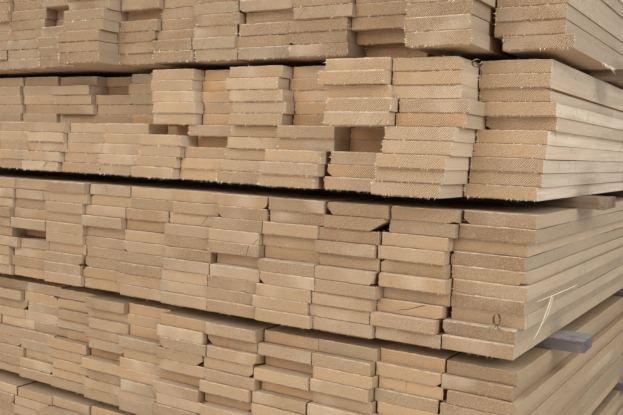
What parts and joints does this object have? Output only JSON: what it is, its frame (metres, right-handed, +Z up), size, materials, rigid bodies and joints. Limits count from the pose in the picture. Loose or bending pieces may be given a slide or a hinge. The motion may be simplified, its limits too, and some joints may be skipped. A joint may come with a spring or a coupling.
{
  "type": "stack of lumber",
  "caption": "Yard stack of rough sawn softwood boards in tiers, with weathered cross spacers under each tier and uneven board ends.",
  "frame": {"origin": "on the ground under the middle of the stack's overall box", "axes": "+X to the right along the pictured board ends, +Y along the boards away from those ends, +Z up"},
  "size_m": [1.857, 4.2054, 1.221],
  "materials": {
    "sawn_softwood": "rough sawn, unplaned",
    "weathered_softwood": "rough sawn, grey from weather"
  },
  "bodies": {
    "root": {"tier_1_course_01": "sawn_softwood", "tier_1_course_02": "sawn_softwood", "tier_1_course_03": "sawn_softwood", "tier_1_course_04": "sawn_softwood", "tier_1_course_05": "sawn_softwood", "tier_1_course_06": "sawn_softwood", "tier_1_course_07": "sawn_softwood", "tier_1_course_08": "sawn_softwood", "tier_1_course_09": "sawn_softwood", "tier_1_course_10": "sawn_softwood", "tier_1_spacers": "weathered_softwood", "tier_2_course_01": "sawn_softwood", "tier_2_course_02": "sawn_softwood", "tier_2_course_03": "sawn_softwood", "tier_2_course_04": "sawn_softwood", "tier_2_course_05": "sawn_softwood", "tier_2_course_06": "sawn_softwood", "tier_2_course_07": "sawn_softwood", "tier_2_course_08": "sawn_softwood", "tier_2_course_09": "sawn_softwood", "tier_2_course_10": "sawn_softwood", "tier_2_spacers": "weathered_softwood", "tier_3_course_01": "sawn_softwood", "tier_3_course_02": "sawn_softwood", "tier_3_course_03": "sawn_softwood", "tier_3_course_04": "sawn_softwood", "tier_3_course_05": "sawn_softwood", "tier_3_course_06": "sawn_softwood", "tier_3_course_07": "sawn_softwood", "tier_3_course_08": "sawn_softwood", "tier_3_course_09": "sawn_softwood", "tier_3_course_10": "sawn_softwood", "tier_3_spacers": "weathered_softwood", "tier_4_course_01": "sawn_softwood", "tier_4_course_02": "sawn_softwood", "tier_4_course_03": "sawn_softwood", "tier_4_course_04": "sawn_softwood", "tier_4_course_05": "sawn_softwood", "tier_4_course_06": "sawn_softwood", "tier_4_course_07": "sawn_softwood", "tier_4_course_08": "sawn_softwood", "tier_4_course_09": "sawn_softwood", "tier_4_course_10": "sawn_softwood", "tier_4_spacers": "weathered_softwood", "tier_5_course_01": "sawn_softwood", "tier_5_course_02": "sawn_softwood", "tier_5_course_03": "sawn_softwood", "tier_5_course_04": "sawn_softwood", "tier_5_course_05": "sawn_softwood", "tier_5_course_06": "sawn_softwood", "tier_5_course_07": "sawn_softwood", "tier_5_course_08": "sawn_softwood", "tier_5_course_09": "sawn_softwood", "tier_5_course_10": "sawn_softwood", "tier_5_spacers": "weathered_softwood"}
  },
  "joints": []
}
